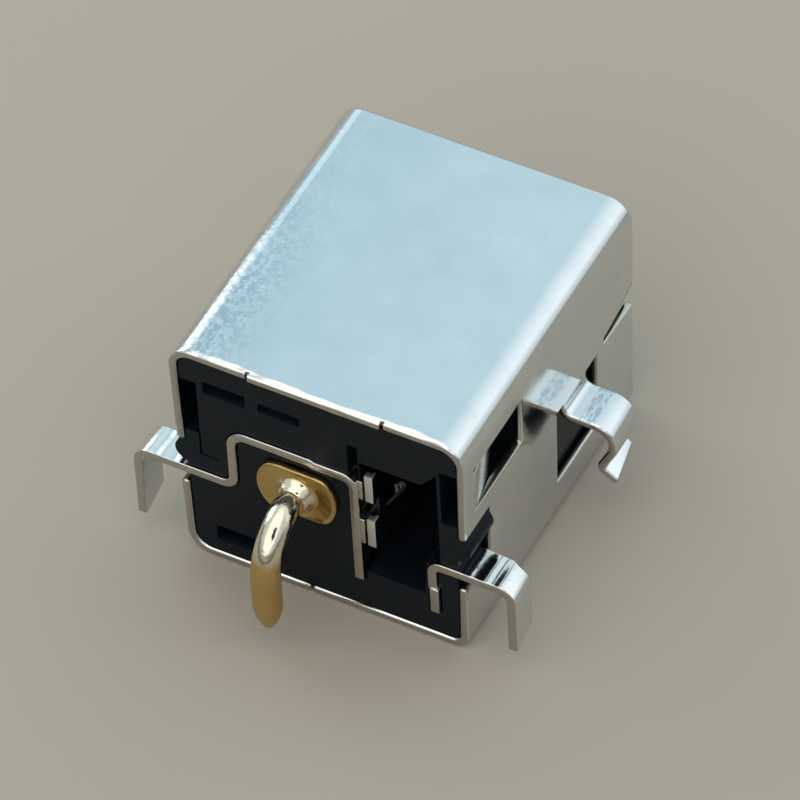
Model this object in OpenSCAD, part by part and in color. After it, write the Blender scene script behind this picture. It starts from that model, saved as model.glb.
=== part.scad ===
// Board-mount DC barrel jack: a black moulded housing wrapped in a folded metal shell, with a
// gold-plated centre pin, a sleeve contact, a switch terminal and a small forked contact spring.
// The solder side is the rear. +Y points from the rear to the plug mouth and +Z is up.
// The origin lies on the shell's underside, at the middle of its width and length.
// Inside from_rear() a Y value is the distance in front of the shell's rear edge.

/* [Shell] */
// Outside width of the shell at the level of its top
shell_width = 9.03; // [8.8:0.01:12]
// How far each side wall leans in from the top's level to the underside
wall_lean = 0.16; // [0:0.01:0.25]
// Outside height of the shell
shell_height = 8.22; // [8:0.02:10]
// Length of the shell from its rear edge to its mouth
shell_length = 10.13; // [9.5:0.01:14]
// Thickness of the shell's sheet
shell_sheet = 0.25; // [0.2:0.01:0.3]
// Outside radius of the long folds
fold_radius = 0.75; // [0.5:0.05:0.9]
// Outside radius of the tighter fold at the lower right
tight_fold_radius = 0.5; // [0.35:0.05:0.9]
// Open width of the seam under the shell
seam_gap = 0.05; // [0.02:0.01:0.1]
// Distance of the seam from the middle, towards the left
seam_offset = 0.47; // [0:0.01:2]

/* [Carrier tab] */
// Width of the sheared tab on the top's rear edge
carrier_tab_width = 4; // [2:0.1:5]
// How far the tab stands past the rear edge
carrier_tab_proud = 0.06; // [0.02:0.01:0.2]
// Width of the relief notch at each end of the tab
relief_width = 0.1; // [0.05:0.01:0.2]
// Depth of the relief notches
relief_depth = 0.16; // [0.1:0.01:0.3]

/* [Terminal notches] */
// Depth of the wall notches that the terminals leave through
notch_depth = 1.48; // [1.2:0.02:2]
// Height of the right notch's lower edge
right_notch_foot = 2.5; // [2:0.02:2.8]
// Height of the left notch's lower edge
left_notch_foot = 2.8; // [2:0.02:3]
// Height of both notches' upper edge
notch_top = 4.54; // [4.54:0.01:4.9]

/* [Latch fingers] */
// Distance of the latch windows from the rear edge
latch_start = 0.6; // [0.5:0.05:1]
// Length of the latch windows
latch_window_length = 2.75; // [2.4:0.05:3.5]
// Distance of the latch windows' upper edge below the shell's top
latch_drop = 1.27; // [1.1:0.01:1.6]
// Height of the latch windows
latch_window_height = 1.7; // [1.4:0.05:1.8]
// Length of the fingers cut from the walls
finger_length = 1.9; // [1.2:0.05:2.1]
// Slit between a finger and its window
finger_slit = 0.07; // [0.05:0.01:0.12]
// Angle that the fingers are bent in by
finger_angle = 12; // [4:1:14]
// Radius of the fingers' free lower corner
finger_corner = 0.6; // [0.2:0.05:0.7]
// Radius of the bend at the fingers' root
finger_bend = 0.4; // [0.2:0.05:0.6]

/* [Board locks] */
// Distance of the lock windows from the rear edge
lock_window_start = 5.5; // [5:0.05:6]
// Length of the lock windows
lock_window_length = 2.4; // [2:0.05:2.5]
// Height of the lock windows' lower edge
lock_window_foot = 1.3; // [1.1:0.05:2]
// Height of the lock windows' upper edge
lock_window_top = 4.19; // [4.1:0.01:4.6]
// Width of the lock legs
lock_width = 1.4; // [1:0.05:1.6]
// Clear gap from the window's rear edge to the leg
lock_gap = 0.35; // [0.2:0.05:0.5]
// Height of the legs' top face
lock_height = 3.83; // [3.4:0.01:3.9]
// How far the legs reach out from the wall
lock_reach = 1.62; // [1.4:0.02:2]
// Radius of the legs' outer bend, on the middle of the sheet
lock_bend = 0.42; // [0.3:0.02:0.6]
// Radius of the legs' inner bend at the wall, on the middle of the sheet
lock_root_bend = 0.2; // [0.15:0.01:0.3]
// Length of the legs' straight part below the outer bend
lock_straight = 0.84; // [0.6:0.02:1]
// How far that straight part leans in
lock_lean = 0.05; // [0.02:0.01:0.1]
// Radius of the bend above the kink
lock_knee_bend = 0.3; // [0.2:0.02:0.4]
// Radius of the kink
lock_kink_bend = 0.15; // [0.14:0.01:0.2]
// Height of the kink
lock_kink_height = 2.1; // [1.9:0.05:2.4]
// How far the kink steps back in from the reach
lock_kink_inset = 0.42; // [0.2:0.02:0.6]
// Height of the turned-out toe
lock_toe_height = 1.74; // [1.5:0.02:1.8]
// How far the toe's front corner is cut back
lock_toe_cut = 0.25; // [0.1:0.01:0.3]

/* [Mouth slots] */
// Distance of the slots' closed end from the rear edge
slot_start = 8.36; // [8.2:0.02:9]
// Height of the slots' lower edge
slot_foot = 4.15; // [3.8:0.05:4.3]
// Width of the slots at their closed end
slot_width = 0.3; // [0.2:0.02:0.4]
// Distance from the rear edge where the slots begin to flare
slot_flare_start = 9.49; // [9.1:0.01:9.5]
// Width of the slots where the flare begins
slot_mid_width = 0.5; // [0.4:0.02:0.6]
// Width of the slots at the mouth
slot_mouth_width = 0.85; // [0.6:0.05:1.2]

/* [Housing] */
// How far the housing's rear face sits inside the shell
rear_recess = 0.08; // [0.05:0.01:0.2]
// How far the housing's front face sits inside the shell
front_recess = 0.1; // [0:0.05:0.5]
// Radius of the plug bore
bore_radius = 2.9; // [2.8:0.02:3]
// Distance of the bore's floor from the rear edge
bore_floor = 2.2; // [2:0.05:3]
// Width of the chamfer at the bore's mouth
bore_chamfer = 0.25; // [0.1:0.05:0.4]
// Left edge of the contact pocket
pocket_left = 1.24; // [1.22:0.01:1.3]
// Right edge of the contact pocket, above the switch terminal
pocket_right = 3.6; // [3.58:0.01:3.65]
// How far the pocket's right edge slopes in below the switch terminal
pocket_slope = 0.1; // [0.02:0.01:0.2]
// Height of the pocket's floor
pocket_foot = 1.72; // [1.6:0.02:1.9]
// Height of the pocket's roof above the pin's axis
pocket_rise = 2.05; // [1.9:0.01:2.15]
// Depth of the pocket from the rear edge
pocket_depth = 6; // [4:0.1:8]
// Width of the slanted notch in the pocket's roof, at its right end
roof_notch_width = 0.5; // [0.3:0.02:0.6]
// Rise of that notch
roof_notch_rise = 0.58; // [0.3:0.02:0.6]
// Depth of that notch from the rear edge
roof_notch_depth = 0.9; // [0.3:0.05:2]
// Radius of the rounded bosses that fill the terminal notches
boss_radius = 0.46; // [0.3:0.01:0.46]
// Distance of the bosses' axis inside the wall's outer face
boss_inset = 0.36; // [0.3:0.01:0.5]

/* [Rear face] */
// Depth of the mould recesses
recess_depth = 0.45; // [0.1:0.05:0.8]
// Width of the upper left recess
first_recess_width = 1.3; // [0.8:0.05:1.5]
// Width of the recess beside it
second_recess_width = 1.26; // [0.8:0.05:1.3]
// Depth of the recess beside it
second_recess_depth = 0.2; // [0.1:0.05:0.8]
// Height of the upper left recess
first_recess_height = 0.48; // [0.2:0.02:0.6]
// Height of the recess beside it
second_recess_height = 0.36; // [0.2:0.02:0.5]
// Distance of the upper left recess's upper edge below the shell's top
first_recess_drop = 1.05; // [0.8:0.01:1.3]
// Distance of the upper edge of the recess beside it below the shell's top
second_recess_drop = 1.11; // [0.8:0.01:1.3]
// Left edge of the upper left recess, from the middle
first_recess_left = 3.5; // [3.4:0.02:3.6]
// Left edge of the recess beside it, from the middle
second_recess_left = 1.8; // [1.7:0.02:1.9]
// Left edge of the lower recess, from the middle
lower_recess_left = 3.43; // [3.2:0.02:3.6]
// Width of the lower recess
lower_recess_width = 1.23; // [0.8:0.05:1.4]
// Height of the lower recess's lower edge
lower_recess_foot = 0.7; // [0.6:0.02:0.9]
// Height of the lower recess
lower_recess_height = 0.6; // [0.3:0.02:0.7]
// Width of the clearance slot above the sleeve contact's corner
corner_slot_width = 0.32; // [0.2:0.02:0.34]
// Height of that slot above the middle of the sleeve contact's top run
corner_slot_height = 1.29; // [0.9:0.01:1.5]
// Width and depth of the scored panel line
panel_line = 0.07; // [0.04:0.01:0.1]
// Distance of the panel line's upright from the middle
panel_line_x = 3.75; // [3.7:0.01:3.8]
// Height of the panel line's lower stroke
panel_line_foot = 4.08; // [3.9:0.02:4.3]
// Length of the panel line's lower stroke
panel_line_run = 0.55; // [0.3:0.01:0.6]
// Thickness of the channels that the latch fingers spring into
finger_channel = 0.65; // [0.65:0.01:0.7]
// How far the channels reach below the latch windows
finger_channel_drop = 0.3; // [0.1:0.05:0.4]
// How far the channels reach past the windows' other edges
finger_channel_margin = 0.05; // [0.02:0.01:0.1]

/* [Centre pin] */
// Distance of the pin's axis from the middle, towards the left
pin_offset = 0.68; // [0.6:0.02:0.8]
// Distance of the pin's axis below the shell's top
pin_drop = 4.07; // [3.9:0.01:4.2]
// Diameter of the pin inside the bore
pin_diameter = 2.5; // [2:0.05:2.5]
// How far the pin's nose sits behind the shell's mouth
pin_recess = 1.4; // [1:0.1:3]
// Chamfer at the pin's nose
pin_nose = 0.35; // [0.2:0.05:0.6]
// Diameter of the shank through the housing
shank_diameter = 1.9; // [1.5:0.05:2]
// Diameter of the rear flange
flange_diameter = 2.46; // [2.2:0.02:2.5]
// Distance between the flange's two flats
flange_flats = 1.8; // [1.5:0.02:1.9]
// Thickness of the flange's rim
flange_thickness = 0.2; // [0.15:0.01:0.3]
// Width of the flange's raised rim
flange_rim = 0.12; // [0.08:0.01:0.2]
// Depth of the dished flange face
flange_dish = 0.1; // [0.05:0.01:0.12]
// Diameter of the collar at the root of the tail
collar_diameter = 1.3; // [1.1:0.02:1.4]
// Length of the collar, which narrows to the tail
collar_length = 0.12; // [0.08:0.01:0.2]
// Diameter of the solder tail
tail_diameter = 0.85; // [0.7:0.01:1]
// Reach of the tail's middle behind the shell's rear edge
tail_reach = 2.03; // [1.6:0.01:2.4]
// Radius of the tail's bend, on its middle line
tail_bend = 1.55; // [0.8:0.05:1.6]
// Height of the tail's tip
tail_tip = 0.8; // [0.3:0.05:1]
// Diameter of the tail's tip
tail_tip_diameter = 0.44; // [0.3:0.02:0.6]
// Length of the tail's tapered end
tail_taper = 0.6; // [0.2:0.05:0.8]

/* [Contacts] */
// Thickness of the contact strips
strip = 0.28; // [0.22:0.01:0.3]
// Width of the sleeve contact's strip, from the rear edge forwards
sleeve_width = 1.05; // [0.8:0.05:1.1]
// Width of the switch terminal's strip, from the rear edge forwards
switch_width = 1.16; // [0.8:0.02:1.2]
// Reach of both legs' outer face from the wall's outer face
leg_reach = 1.48; // [1.2:0.02:1.8]
// Radius of the legs' bends, on the middle of the strip
leg_bend = 0.42; // [0.3:0.02:0.6]
// Height of the legs' tips
leg_tip = 0.76; // [0.4:0.02:1]
// Height lost across the width of the slanted leg tips
leg_slant = 0.36; // [0.1:0.02:0.5]

/* [Sleeve contact] */
// Height of the strip's middle where it leaves the left notch
sleeve_exit_height = 3.31; // [3.22:0.01:3.35]
// Distance of the S-bend's upright from the middle
s_bend_x = 2.72; // [2.6:0.01:2.8]
// Radius of the S-bend's lower corner, on the middle of the strip
s_bend_radius = 0.38; // [0.3:0.02:0.45]
// Radius of the S-bend's upper corner, on the middle of the strip
s_bend_top_radius = 0.48; // [0.3:0.02:0.6]
// Radius of the right upright's corner, on the middle of the strip
bar_bend = 0.38; // [0.3:0.02:0.45]
// Height of the top run's middle above the pin's axis
sleeve_run_rise = 1.32; // [1.25:0.01:1.4]
// Small step down in the top run
joggle = 0.07; // [0.04:0.01:0.1]
// Distance of the joggle left of the middle
joggle_x = 0.3; // [0.1:0.02:0.5]
// Radius of the joggle's two bends, on the middle of the strip
joggle_radius = 0.25; // [0.22:0.01:0.3]
// Distance of the right upright from the middle
bar_x = 1.05; // [1.03:0.01:1.06]
// Height of the right upright's lower end
bar_foot = 1.38; // [1.2:0.02:1.6]
// Thickness of the two ears beside the upright
ear_thickness = 0.13; // [0.08:0.01:0.14]
// Distance of the ears' rear faces from the rear edge
ear_setback = 0.04; // [0.01:0.01:0.1]
// Height of the upper ear
upper_ear_height = 0.7; // [0.5:0.02:0.9]
// Height of the lower ear
lower_ear_height = 0.96; // [0.6:0.02:1.1]
// Width of the spring arm that presses on the plug
arm_width = 2; // [1.4:0.05:2.4]
// Thickness of the spring arm
arm_sheet = 0.2; // [0.15:0.01:0.25]
// How far the arm's crest reaches into the bore
arm_press = 0.2; // [0.1:0.01:0.3]
// Distance of the arm's crest behind the mouth
arm_crest_recess = 4; // [3.5:0.1:5]
// Distance of the arm's free end behind the mouth
arm_end_recess = 2.4; // [2.2:0.1:3]
// Length of the arm's root in front of the strip
arm_root = 0.2; // [0.15:0.01:0.3]
// How far behind the bore's floor the arm has finished its rise
arm_rise_margin = 0.1; // [0.05:0.01:0.2]
// Radius of the arm's first bend
arm_root_bend = 0.2; // [0.15:0.01:0.3]
// Radius of the arm's second bend
arm_rise_bend = 0.3; // [0.2:0.02:0.5]
// Radius of the arm's crest
arm_crest_bend = 0.8; // [0.5:0.05:1]
// Rise of the arm's channel above the bore
arm_channel_rise = 0.5; // [0.4:0.02:0.55]
// Distance of the channel's front end behind the mouth
arm_channel_recess = 2; // [1.8:0.1:2.1]

/* [Contact spring] */
// Left face of the fork, from the middle
fork_x = 1.4; // [1.36:0.01:1.44]
// Width of the fork's two prongs
prong_width = 0.25; // [0.2:0.01:0.28]
// Depth of the prongs
prong_depth = 0.2; // [0.12:0.01:0.25]
// Distance of the lower prong's foot below the pin's axis
lower_prong_drop = 1.23; // [1.1:0.01:1.4]
// Height of the lower prong
lower_prong_height = 1.06; // [0.9:0.02:1.3]
// Height of the upper prong's foot above the pin's axis
upper_prong_rise = 0.59; // [0.4:0.01:0.7]
// Height of the upper prong
upper_prong_height = 1.02; // [0.8:0.02:1.2]
// Distance of the prongs' rear faces from the rear edge
fork_setback = 0.03; // [0.01:0.01:0.1]
// Distance from the rear edge to the bridge between the prongs
bridge_start = 0.35; // [0.3:0.01:0.4]
// Distance from the rear edge to the bridge's front edge
bridge_end = 0.6; // [0.5:0.02:0.8]
// Thickness of the bridge and of the leaf in front of it
leaf_sheet = 0.1; // [0.06:0.01:0.12]
// Length of the leaf in front of the rear edge
leaf_length = 1.6; // [1.2:0.02:2]
// How far the leaf swings to the right
leaf_swing = 0.19; // [0.1:0.01:0.2]
// Radius of the bend where the leaf leaves the bridge
leaf_bend = 0.2; // [0.1:0.02:0.3]
// Width of the curl at the leaf's end
curl_width = 0.26; // [0.25:0.01:0.3]
// Radius of the curl's two bends
curl_bend = 0.11; // [0.1:0.01:0.12]
// Length of the curl's return
curl_return = 0.12; // [0.12:0.01:0.2]

/* [Switch terminal] */
// Height of the strip's middle where it leaves the right notch
switch_exit_height = 3.06; // [2.96:0.01:3.2]
// Distance of the inner upright from the middle
switch_upright_x = 3.34; // [3.3:0.01:3.36]
// Width of the switch terminal's leg, from the rear edge forwards
switch_leg_width = 0.97; // [0.8:0.01:1.1]
// Distance outside the wall where the leg starts to narrow
switch_taper_start = 0.7; // [0.4:0.02:0.8]
// Distance outside the wall where it has narrowed
switch_taper_end = 1.2; // [1:0.02:1.3]
// Radius of the inner bend, on the middle of the strip
switch_bend = 0.3; // [0.2:0.02:0.4]
// Height of the step in the inner upright
switch_step_height = 2.16; // [1.9:0.02:2.3]
// Height of the inner upright's lower end
switch_foot = 1.2; // [1.1:0.02:1.4]
// Sideways shift of the upright below the step
switch_step_shift = 0.07; // [0.02:0.01:0.1]
// How far the upright below the step stands back towards the rear
switch_step_proud = 0.06; // [0.02:0.01:0.1]

/* [Clearances] */
// Clearance between the housing and the shell
shell_clearance = 0.03; // [0.02:0.005:0.04]
// Clearance between a contact strip and its slot
slot_clearance = 0.03; // [0.02:0.005:0.04]
// Clearance around the centre pin's shank
shank_clearance = 0.02; // [0.01:0.005:0.03]

/* [Hidden] */
$fn = 64;
bend_steps = 8;
overshoot = 1;
// Joined pieces sink into each other by this much
bite = 0.05;
// A bent strip is this much thinner on each side than the wall that it grows from
skin = 0.005;

wall_tilt = atan(wall_lean / shell_height);
wall_foot_x = shell_width / 2 - wall_lean;
housing_inset = shell_sheet + shell_clearance;
housing_front = shell_length - front_recess;
latch_top = shell_height - latch_drop;
latch_foot = latch_top - latch_window_height;
channel_foot = latch_foot - finger_channel_drop;
channel_top = latch_top + finger_channel_margin;
channel_end = latch_start + latch_window_length + finger_channel_margin;
pin_x = -pin_offset;
pin_height = shell_height - pin_drop;
pocket_top = pin_height + pocket_rise;
sleeve_run_height = pin_height + sleeve_run_rise;
lower_prong_foot = pin_height - lower_prong_drop;
upper_prong_foot = pin_height + upper_prong_rise;
tail_end_y = -tail_reach;
leg_mid = leg_reach - strip / 2;
lock_leg_start = lock_window_start + lock_gap;
ear_left = bar_x + strip / 2 - bite;
upper_ear_top = upper_prong_foot + upper_ear_height;
arm_top_height = pin_height + bore_radius + arm_channel_rise;

// ---- Places and directions ----

// Half of the shell's outside width at a height
function wall_x(z) = wall_foot_x + wall_lean * z / shell_height;

// Moves a shape drawn from the rear edge to its place around the origin
module from_rear() {
    translate([0, -shell_length / 2, 0]) children();
}

// Stretches an outline drawn in X and Z forwards, from one Y to another
module run(from, to) {
    translate([0, to, 0]) rotate([90, 0, 0]) linear_extrude(to - from) children();
}

// Stretches an outline drawn in Y and Z sideways, from one X to another
module across(from, to) {
    translate([from, 0, 0]) rotate([90, 0, 90]) linear_extrude(to - from) children();
}

// Puts shapes on the right wall: X is measured outwards from its outer face
module on_wall() {
    translate([wall_foot_x, 0, 0]) rotate([0, wall_tilt, 0]) children();
}

module both_sides() {
    children();
    mirror([1, 0, 0]) children();
}

// Block between two opposite corners
module block(low, high) {
    translate(low) cube(high - low);
}

// Cylinder along Y, from one Y to another
module rod(r, from, to, nose = undef) {
    r_end = is_undef(nose) ? r : nose;
    translate([0, from, 0]) rotate([-90, 0, 0]) cylinder(h = to - from, r1 = r, r2 = r_end);
}

// ---- Bent strips ----

function heading(a, b) = atan2(b[1] - a[1], b[0] - a[0]);
function left_of(angle) = [-sin(angle), cos(angle)];

// Stations [point, heading] around one corner of a path
function corner(a, b, c, r) =
    let (before = heading(a, b))
    let (turned = heading(b, c) - before)
    let (turn = turned > 180 ? turned - 360 : turned < -180 ? turned + 360 : turned)
    let (side = sign(turn))
    let (start = b - r * tan(abs(turn) / 2) * [cos(before), sin(before)])
    let (centre = start + side * r * left_of(before))
    [for (k = [0:bend_steps])
        let (now = before + turn * k / bend_steps)
        [centre - side * r * left_of(now), now]];

// Stations along a path whose corners are rounded, one radius for each inner corner
function bent_path(points, radii) =
    let (last = len(points) - 1)
    concat(
        [[points[0], heading(points[0], points[1])]],
        [for (i = [1:last - 1]) each corner(points[i - 1], points[i], points[i + 1], radii[i - 1])],
        [[points[last], heading(points[last - 1], points[last])]]);

// Outline of a strip of even thickness that follows a bent path
module bent_strip(points, radii, thickness) {
    path = bent_path(points, radii);
    last = len(path) - 1;
    left = [for (s = path) s[0] + thickness / 2 * left_of(s[1])];
    right = [for (i = [last:-1:0]) path[i][0] - thickness / 2 * left_of(path[i][1])];
    polygon(concat(left, right));
}

// ---- Shell ----

// Centre of a fold of the right wall, from its outside radius and its height
function fold_centre(r, z) = [wall_x(z) - r / cos(wall_tilt), z];

// Outline of the folded shell in X and Z, moved in by an inset
module folded_outline(inset = 0) {
    flip = [[-1, 0], [0, 1]];
    normal = [cos(wall_tilt), -sin(wall_tilt)];
    top = fold_centre(fold_radius, shell_height - fold_radius);
    foot = fold_centre(fold_radius, fold_radius);
    tight = fold_centre(tight_fold_radius, tight_fold_radius);
    r = fold_radius - inset;
    r_tight = tight_fold_radius - inset;
    for (c = [top, flip * top, flip * foot]) translate(c) circle(r);
    translate(tight) circle(r_tight);
    polygon([
        top + [0, r], top + r * normal,
        tight + r_tight * normal, tight - [0, r_tight],
        flip * foot - [0, r], flip * (foot + r * normal),
        flip * (top + r * normal), flip * top + [0, r]]);
}

// Openings of one side wall, drawn in Y and Z, apart from the terminal notch
module wall_openings() {
    translate([latch_start, latch_foot]) square([latch_window_length, latch_top - latch_foot]);
    difference() {
        translate([lock_window_start, lock_window_foot])
            square([lock_window_length, lock_window_top - lock_window_foot]);
        translate([lock_leg_start, lock_height])
            square([lock_width, overshoot]);
    }
    translate([0, slot_foot]) polygon([
        [slot_start, 0], [shell_length + overshoot, 0],
        [shell_length + overshoot, slot_mouth_width], [shell_length, slot_mouth_width],
        [slot_flare_start, slot_mid_width], [slot_start, slot_width]]);
}

// Notch open at the rear edge, drawn in Y and Z
module terminal_notch(foot) {
    translate([-overshoot, foot]) square([notch_depth + overshoot, notch_top - foot]);
}

// Finger cut from the wall and bent in behind the latch window's rear edge
module latch_finger() {
    root = latch_start - bite;
    mid = -shell_sheet / 2;
    run_length = finger_length - bite;
    tip = [mid - run_length * tan(finger_angle), latch_start + finger_length];
    foot = latch_foot + finger_slit;
    height = latch_top - latch_foot - 2 * finger_slit;
    intersection() {
        translate([0, 0, foot]) linear_extrude(height)
            bent_strip([[mid, root - bite], [mid, latch_start + bite], tip], [finger_bend],
                shell_sheet - 2 * skin);
        across(-overshoot, overshoot) {
            translate([0, foot + finger_corner])
                square([latch_start + finger_length, height - finger_corner]);
            square([latch_start + finger_length - finger_corner, latch_top]);
            translate([latch_start + finger_length - finger_corner, foot + finger_corner])
                circle(finger_corner);
        }
    }
}

// Leg bent out of the lock window, with a kink and a turned-out toe
module lock_leg() {
    mid = -shell_sheet / 2;
    top = lock_height - shell_sheet / 2;
    out = lock_reach - shell_sheet / 2;
    points = [
        [mid, lock_window_top + bite], [mid, top], [out, top],
        [out - lock_lean, top - lock_straight],
        [out - lock_kink_inset, lock_kink_height], [out + shell_sheet / 2, lock_toe_height]];
    radii = [lock_root_bend, lock_bend, lock_knee_bend, lock_kink_bend];
    front = lock_leg_start + lock_width;
    toe = out + shell_sheet;
    difference() {
        run(lock_leg_start, front) bent_strip(points, radii, shell_sheet - 2 * skin);
        linear_extrude(lock_kink_height) polygon([
            [toe, lock_leg_start], [toe + overshoot, lock_leg_start], [toe + overshoot, front + bite],
            [toe - lock_toe_cut, front + bite]]);
    }
}

module shell() color("#c4cac9") from_rear() {
    tab = carrier_tab_width / 2;
    top_inner = shell_height - shell_sheet;
    difference() {
        run(0, shell_length) folded_outline();
        run(-overshoot, shell_length + overshoot) folded_outline(shell_sheet);
        both_sides() on_wall() across(-overshoot, overshoot) wall_openings();
        on_wall() across(-overshoot, overshoot) terminal_notch(right_notch_foot);
        mirror([1, 0, 0]) on_wall() across(-overshoot, overshoot) terminal_notch(left_notch_foot);
        block([-seam_offset - seam_gap, -overshoot, -overshoot],
            [-seam_offset, shell_length + overshoot, fold_radius]);
        both_sides() block([tab, -overshoot, top_inner - bite],
            [tab + relief_width, relief_depth, shell_height + overshoot]);
    }
    block([-tab, -carrier_tab_proud, top_inner], [tab, bite, shell_height]);
    both_sides() on_wall() {
        latch_finger();
        lock_leg();
    }
}

// ---- Contact paths, shared by the strips and their slots ----

// Sleeve contact in X and Z: leg, S-bend, top run and right upright
sleeve_wall = wall_x(sleeve_exit_height);
sleeve_points = [
    [-sleeve_wall - leg_mid, leg_tip], [-sleeve_wall - leg_mid, sleeve_exit_height],
    [-s_bend_x, sleeve_exit_height], [-s_bend_x, sleeve_run_height],
    [-joggle_x, sleeve_run_height], [-joggle_x + 2 * joggle, sleeve_run_height - joggle],
    [bar_x, sleeve_run_height - joggle], [bar_x, bar_foot]];
sleeve_radii = [
    leg_bend, s_bend_radius, s_bend_top_radius, joggle_radius, joggle_radius, bar_bend];

// Switch terminal in X and Z: leg, run through the wall and inner upright
switch_wall = wall_x(switch_exit_height);
switch_points = [
    [switch_wall + leg_mid, leg_tip], [switch_wall + leg_mid, switch_exit_height],
    [switch_upright_x, switch_exit_height], [switch_upright_x, switch_step_height - bite]];
switch_radii = [leg_bend, switch_bend];

// Spring arm in Y and Z: up through the housing and along the top of the bore
arm_rest = pin_height + bore_radius + arm_sheet;
arm_crest = pin_height + bore_radius - arm_press + arm_sheet / 2;
arm_points = [
    [sleeve_width - bite, sleeve_run_height], [sleeve_width + arm_root, sleeve_run_height],
    [bore_floor - arm_rise_margin, arm_rest], [shell_length - arm_crest_recess, arm_crest],
    [shell_length - arm_end_recess, arm_rest]];
arm_radii = [arm_root_bend, arm_rise_bend, arm_crest_bend];
arm_mid = -(s_bend_x - s_bend_radius + joggle_x) / 2;

// ---- Housing ----

// Boss on the right side that fills the terminal notch above the strip
module notch_boss() {
    depth = notch_depth - slot_clearance;
    translate([wall_x(notch_top) - boss_inset, 0, notch_top - slot_clearance - boss_radius])
        rod(boss_radius, rear_recess, depth);
}

module rear_recesses() {
    deep = rear_recess + recess_depth;
    first_top = shell_height - first_recess_drop;
    block([-first_recess_left, -overshoot, first_top - first_recess_height],
        [first_recess_width - first_recess_left, deep, first_top]);
    second_top = shell_height - second_recess_drop;
    block([-second_recess_left, -overshoot, second_top - second_recess_height],
        [second_recess_width - second_recess_left, rear_recess + second_recess_depth, second_top]);
    block([-lower_recess_left, -overshoot, lower_recess_foot],
        [lower_recess_width - lower_recess_left, deep, lower_recess_foot + lower_recess_height]);
    block([bar_x - corner_slot_width / 2, -overshoot, sleeve_run_height],
        [bar_x + corner_slot_width / 2, deep, sleeve_run_height + corner_slot_height]);
}

// Scored line beside the left terminal, from its lower stroke up to the finger channel
module panel_lines() {
    deep = rear_recess + panel_line;
    block([-panel_line_x, -overshoot, panel_line_foot],
        [-panel_line_x + panel_line, deep, channel_foot + bite]);
    block([-panel_line_x, -overshoot, panel_line_foot],
        [-panel_line_x + panel_line_run, deep, panel_line_foot + panel_line]);
}

// Side channel behind each latch window
module finger_channel_cut() {
    block([wall_foot_x - finger_channel, -overshoot, channel_foot],
        [shell_width, channel_end, channel_top]);
}

// Deep pocket, wide above the switch terminal's run and narrower beside its upright
module contact_pocket() {
    narrow = switch_upright_x - strip / 2 - slot_clearance;
    run(-overshoot, pocket_depth) polygon([
        [pocket_left, pocket_foot], [narrow - pocket_slope, pocket_foot],
        [narrow, switch_exit_height], [pocket_right, switch_exit_height],
        [pocket_right, pocket_top], [pocket_left, pocket_top]]);
    notch_left = pocket_right - roof_notch_width;
    run(-overshoot, roof_notch_depth) polygon([
        [notch_left, pocket_top - bite], [pocket_right, pocket_top - bite],
        [pocket_right, pocket_top + roof_notch_rise], [notch_left, pocket_top]]);
}

// Slots for both strips, and the channel that the spring arm rises and lies in
module contact_slots() {
    gap = slot_clearance;
    sleeve_deep = sleeve_width + gap;
    switch_deep = switch_width + gap;
    run(-overshoot, sleeve_deep) bent_strip(sleeve_points, sleeve_radii, strip + 2 * gap);
    run(-overshoot, switch_deep) bent_strip(switch_points, switch_radii, strip + 2 * gap);
    block([bar_x - strip / 2 - gap, -overshoot, bar_foot - gap],
        [pocket_left + bite, sleeve_deep, bar_foot + strip]);
    block([ear_left - gap, -overshoot, bar_foot],
        [pocket_left + bite, sleeve_deep, upper_ear_top + gap]);
    block([switch_upright_x - strip / 2 - gap, -overshoot, switch_foot - gap],
        [switch_upright_x + switch_step_shift + strip / 2 + gap, switch_deep,
            switch_step_height + gap]);
    arm_left = arm_mid - arm_width / 2 - gap;
    arm_right = arm_mid + arm_width / 2 + gap;
    block([arm_left, sleeve_width - bite, sleeve_run_height - strip / 2 - gap],
        [arm_right, bore_floor + bite, arm_top_height]);
    block([arm_left, bore_floor, pin_height],
        [arm_right, shell_length - arm_channel_recess, arm_top_height]);
}

module plug_bore() {
    translate([pin_x, 0, pin_height]) {
        rod(bore_radius, bore_floor, housing_front + overshoot);
        rod(bore_radius, housing_front - bore_chamfer, housing_front + bore_chamfer,
            bore_radius + 2 * bore_chamfer);
        rod(shank_diameter / 2 + shank_clearance, -overshoot, bore_floor + overshoot);
    }
}

module housing() color("#17191b") from_rear() {
    difference() {
        union() {
            run(rear_recess, housing_front) folded_outline(housing_inset);
            both_sides() notch_boss();
        }
        both_sides() finger_channel_cut();
        plug_bore();
        contact_pocket();
        contact_slots();
        rear_recesses();
        panel_lines();
    }
}

// ---- Centre pin ----

module flange() {
    rim_y = rear_recess - flange_thickness;
    difference() {
        intersection() {
            rod(flange_diameter / 2, rim_y, rear_recess);
            block([-flange_diameter, rim_y, -flange_flats / 2],
                [flange_diameter, rear_recess, flange_flats / 2]);
        }
        difference() {
            intersection() {
                rod(flange_diameter / 2 - flange_rim, rim_y - overshoot, rim_y + flange_dish);
                block([-flange_diameter, -overshoot * 2, -flange_flats / 2 + flange_rim],
                    [flange_diameter, rear_recess, flange_flats / 2 - flange_rim]);
            }
            rod(collar_diameter / 2, rim_y - 2 * overshoot, rear_recess);
        }
    }
    rod(tail_diameter / 2, rim_y - collar_length, rim_y, collar_diameter / 2);
}

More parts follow.
